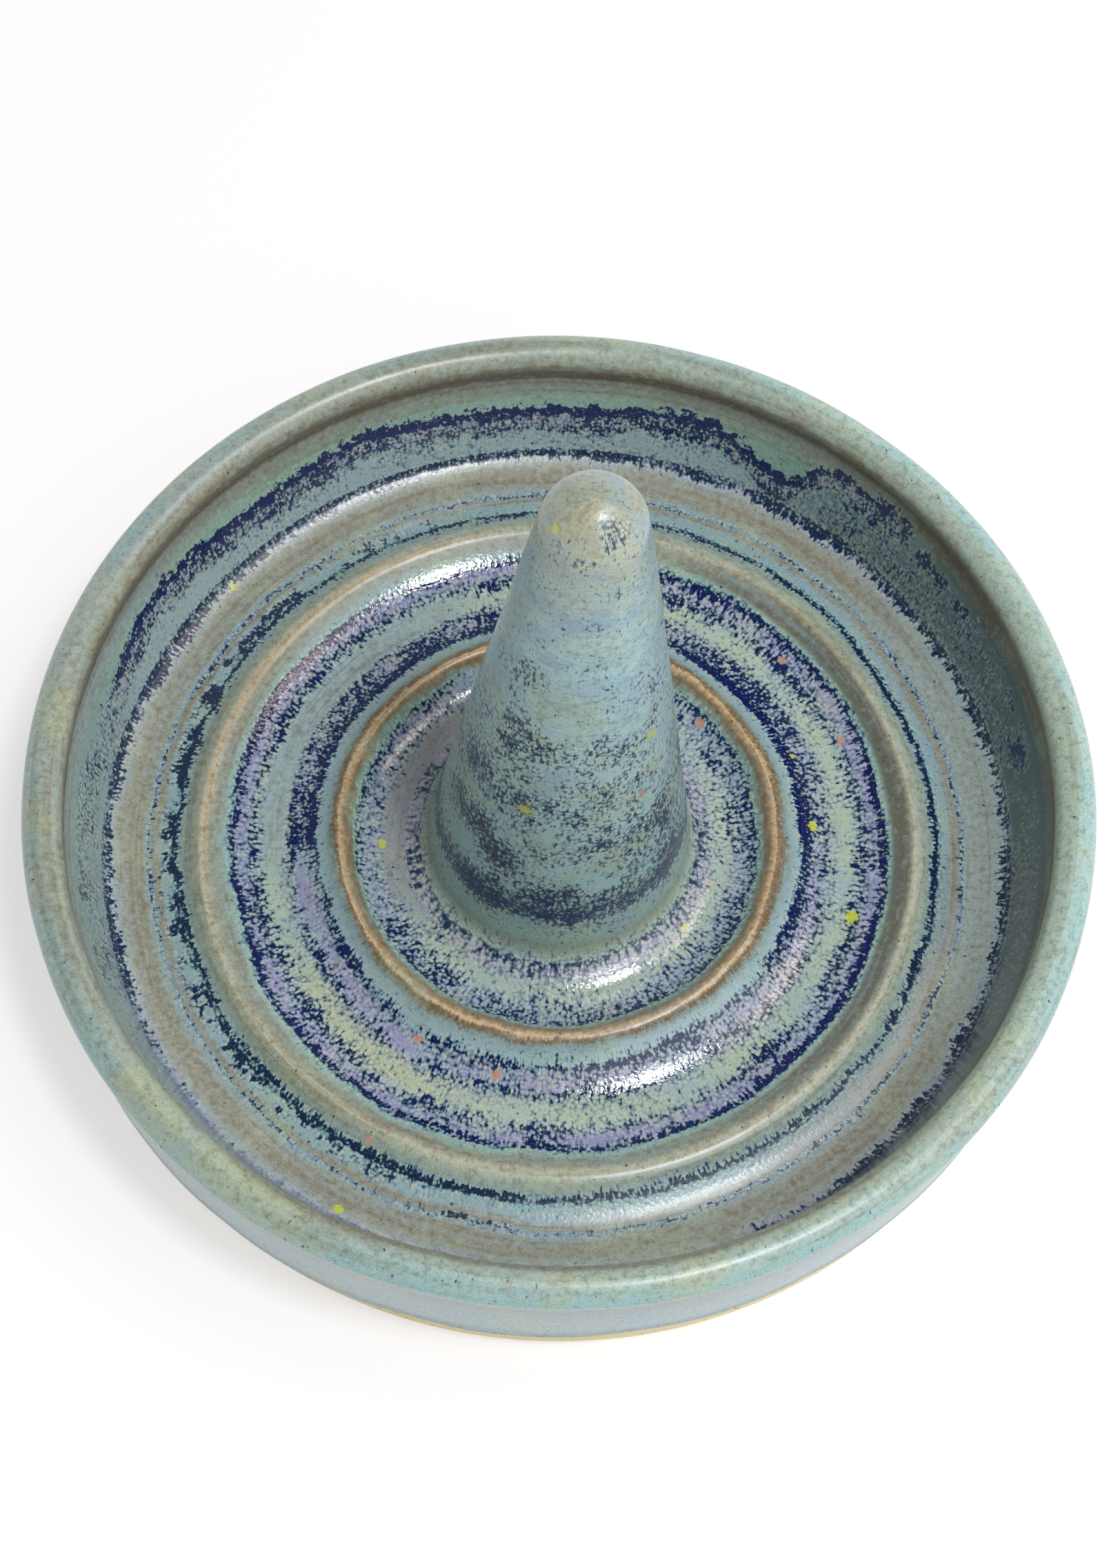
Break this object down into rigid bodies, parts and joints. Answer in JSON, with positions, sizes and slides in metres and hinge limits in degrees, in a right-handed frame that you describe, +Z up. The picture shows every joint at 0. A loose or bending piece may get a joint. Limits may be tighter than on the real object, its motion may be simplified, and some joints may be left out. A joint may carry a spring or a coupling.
{
  "type": "ring dish",
  "caption": "Low round glazed stoneware dish with a rolled rim, throwing rings in its floor and an upright cone in the middle that finger rings are dropped over.",
  "frame": {"origin": "middle of the foot, on the table that the dish stands on", "axes": "+Z up along the dish's turning axis, -Y towards the front as pictured, +X to the right, the way the cone leans"},
  "size_m": [0.11, 0.11, 0.0781],
  "materials": {
    "stoneware": "bare fired clay, slightly rough",
    "glaze": "glossy flowing glaze, brown where thin and blue to cream where it pools"
  },
  "bodies": {
    "root": {"dish_body": "stoneware", "ring_cone": "stoneware", "joint_slip": "stoneware", "cone_coil": "stoneware", "cone_glaze": "glaze", "liner_glaze": "glaze", "outer_glaze": "glaze"}
  },
  "joints": []
}
